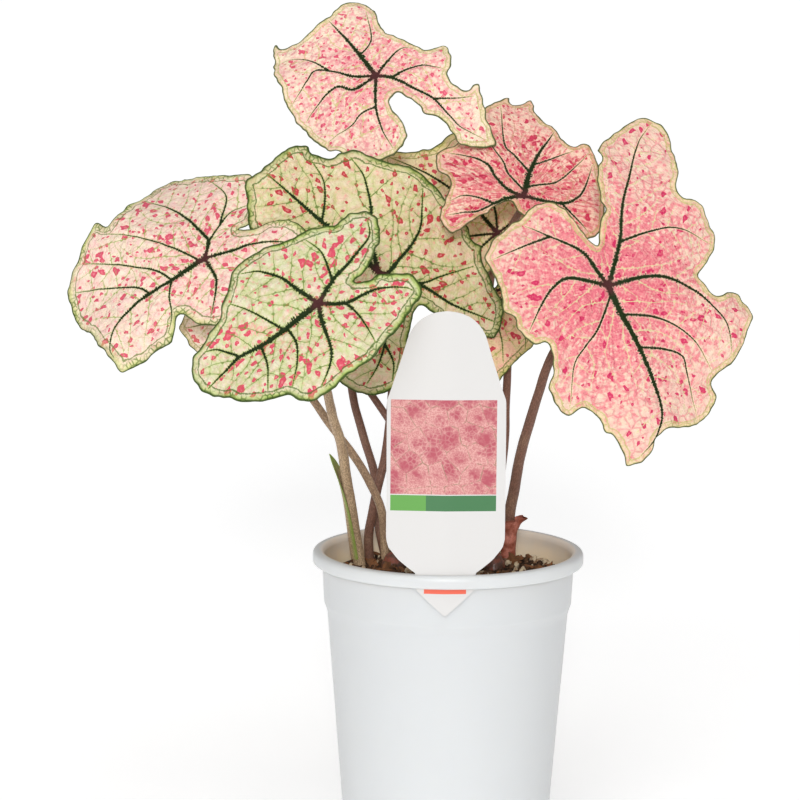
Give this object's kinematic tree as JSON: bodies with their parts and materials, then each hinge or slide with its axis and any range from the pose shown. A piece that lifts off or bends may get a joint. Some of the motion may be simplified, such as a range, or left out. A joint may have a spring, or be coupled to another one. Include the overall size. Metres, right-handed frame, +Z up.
{
  "type": "potted caladium",
  "caption": "Caladium with heart-shaped pink and green spotted leaves on slim stalks, growing in a white plastic nursery pot with a plain plant label.",
  "frame": {"origin": "middle of the underside of the pot's base", "axes": "+Z up along the pot's axis, the label stands at the -Y side of the rim, +X is to the right of a viewer who faces the label"},
  "size_m": [0.289, 0.1658, 0.3513],
  "materials": {
    "pot_plastic": "satin",
    "label_plastic": "satin",
    "potting_soil": "matte",
    "tuber_skin": "satin",
    "stalk_skin": "satin",
    "sheath_green": "satin",
    "sheath_red_brown": "satin",
    "leaf_cream_green": "satin",
    "leaf_cream_pink": "satin",
    "leaf_pink": "satin"
  },
  "bodies": {
    "root": {"pot": "pot_plastic", "soil": "potting_soil", "label": "label_plastic", "tuber_left": "tuber_skin", "tuber_right": "tuber_skin", "stalk_far_left": "stalk_skin", "stalk_upper_middle": "stalk_skin", "stalk_front": "stalk_skin", "stalk_low_right": "stalk_skin", "stalk_upper_right": "stalk_skin", "stalk_right": "stalk_skin", "stalk_top": "stalk_skin", "stalk_back": "stalk_skin", "stalk_low_left": "stalk_skin", "leaf_far_left": "leaf_cream_pink", "leaf_upper_middle": "leaf_cream_green", "leaf_front": "leaf_cream_green", "leaf_low_right": "leaf_cream_green", "leaf_upper_right": "leaf_pink", "leaf_right": "leaf_pink", "leaf_top": "leaf_cream_pink", "leaf_back": "leaf_cream_pink", "leaf_low_left": "leaf_cream_pink", "sheath_front": "sheath_green", "sheath_right": "sheath_red_brown"}
  },
  "joints": []
}
